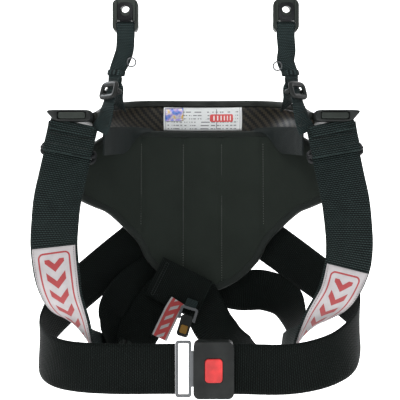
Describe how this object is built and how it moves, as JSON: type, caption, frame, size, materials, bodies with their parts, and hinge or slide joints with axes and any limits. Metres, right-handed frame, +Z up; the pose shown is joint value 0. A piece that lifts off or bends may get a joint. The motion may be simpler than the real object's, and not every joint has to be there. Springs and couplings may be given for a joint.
{
  "type": "racing harness",
  "caption": "Head and neck restraint harness: carbon collar with belt wings, padded back liner, body straps and helmet tethers.",
  "frame": {"origin": "midway between the two belt wings, on the shoulder line at the height of their slots", "axes": "+Z up along the wearer's spine, -Y to the wearer's front, +X to the side called right in the node names, which is the wearer's left"},
  "size_m": [0.3503, 0.1881, 0.4123],
  "materials": {
    "carbon": "clear-coated carbon twill",
    "trim_plastic": "moulded black",
    "liner_fabric": "black knitted liner",
    "binding_tape": "woven tape",
    "grey_felt": "grey brushed felt",
    "body_webbing": "ribbed polyester webbing",
    "tether_webbing": "narrow woven tape",
    "white_vinyl": "printed white label",
    "foil": "holographic foil",
    "clip_plastic": "moulded black",
    "red_plastic": "moulded red",
    "black_steel": "black coated steel",
    "satin_metal": "satin",
    "steel": "bright",
    "brass": "bright"
  },
  "bodies": {
    "harness": {"collar_shell": "carbon", "back_shell": "carbon", "collar_edge_trim": "trim_plastic", "back_liner": "liner_fabric", "liner_top_binding": "binding_tape", "spec_sticker": "white_vinyl", "foil_seal": "foil", "shell_rivets": "black_steel", "crossover_keeper": "body_webbing", "pull_strap": "white_vinyl", "care_tag": "white_vinyl", "release_tab": "tether_webbing", "release_ring": "steel", "chest_buckle": "clip_plastic", "chest_tongue": "steel", "left_wing": "trim_plastic", "left_belt_bar": "satin_metal", "left_wing_screws": "black_steel", "left_shoulder_pad": "grey_felt", "left_shoulder_strap": "body_webbing", "left_strap_label": "white_vinyl", "left_shoulder_fold": "body_webbing", "left_side_strap": "body_webbing", "left_lower_strap": "body_webbing", "left_cross_strap": "body_webbing", "left_tether_strap": "tether_webbing", "left_tether_keeper": "tether_webbing", "right_wing": "trim_plastic", "right_belt_bar": "satin_metal", "right_wing_screws": "black_steel", "right_shoulder_pad": "grey_felt", "right_shoulder_strap": "body_webbing", "right_strap_label": "white_vinyl", "right_shoulder_fold": "body_webbing", "right_side_strap": "body_webbing", "right_lower_strap": "body_webbing", "right_cross_strap": "body_webbing", "right_tether_strap": "tether_webbing", "right_tether_keeper": "tether_webbing"},
    "left_clip": {"left_helmet_clip": "satin_metal", "left_clip_pin": "steel"},
    "left_latch": {"left_clip_latch": "black_steel"},
    "left_tether_adjuster": {"left_tether_slide": "clip_plastic"},
    "left_strap_adjuster": {"left_shoulder_adjuster": "black_steel"},
    "right_clip": {"right_helmet_clip": "satin_metal", "right_clip_pin": "steel"},
    "right_latch": {"right_clip_latch": "black_steel"},
    "right_tether_adjuster": {"right_tether_slide": "clip_plastic"},
    "right_strap_adjuster": {"right_shoulder_adjuster": "black_steel"},
    "release_clip": {"release_body": "clip_plastic"},
    "release_plunger_body": {"release_plunger": "brass"},
    "buckle_button": {"release_button": "red_plastic"}
  },
  "joints": [
    {"name": "left_clip_swing", "type": "hinge", "parent": "harness", "child": "left_clip", "pos_m": [-0.082, -0.002, 0.096], "axis": [1, 0, 0], "range_deg": [-40, 40]},
    {"name": "left_latch_slide", "type": "slide", "parent": "left_clip", "child": "left_latch", "axis": [0, 0, 1], "range_m": [0, 0.003], "stiffness_N_per_m": 300, "springref_m": -0.002},
    {"name": "left_tether_adjust", "type": "slide", "parent": "harness", "child": "left_tether_adjuster", "axis": [0.2231, 0.097, 0.97], "range_m": [-0.006, 0.006]},
    {"name": "left_strap_adjust", "type": "slide", "parent": "harness", "child": "left_strap_adjuster", "axis": [-0.1968, -0.1329, -0.9714], "range_m": [-0.004, 0.005]},
    {"name": "right_clip_swing", "type": "hinge", "parent": "harness", "child": "right_clip", "pos_m": [0.087, -0.002, 0.096], "axis": [1, 0, 0], "range_deg": [-40, 40]},
    {"name": "right_latch_slide", "type": "slide", "parent": "right_clip", "child": "right_latch", "axis": [0, 0, 1], "range_m": [0, 0.003], "stiffness_N_per_m": 300, "springref_m": -0.002},
    {"name": "right_tether_adjust", "type": "slide", "parent": "harness", "child": "right_tether_adjuster", "axis": [-0.2231, 0.097, 0.97], "range_m": [-0.006, 0.006]},
    {"name": "right_strap_adjust", "type": "slide", "parent": "harness", "child": "right_strap_adjuster", "axis": [0.1721, -0.1336, -0.976], "range_m": [-0.004, 0.005]},
    {"name": "release_clip_swing", "type": "hinge", "parent": "harness", "child": "release_clip", "pos_m": [-0.019, 0.071, -0.226], "axis": [-0.9578, 0, 0.2873], "range_deg": [-20, 50]},
    {"name": "release_plunger_press", "type": "slide", "parent": "release_clip", "child": "release_plunger_body", "axis": [-0.0541, 0.9821, -0.1802], "range_m": [0, 0.0016], "stiffness_N_per_m": 400, "springref_m": -0.002},
    {"name": "buckle_button_press", "type": "slide", "parent": "harness", "child": "buckle_button", "axis": [0, 1, 0], "range_m": [0, 0.0018], "stiffness_N_per_m": 600, "springref_m": -0.003}
  ]
}
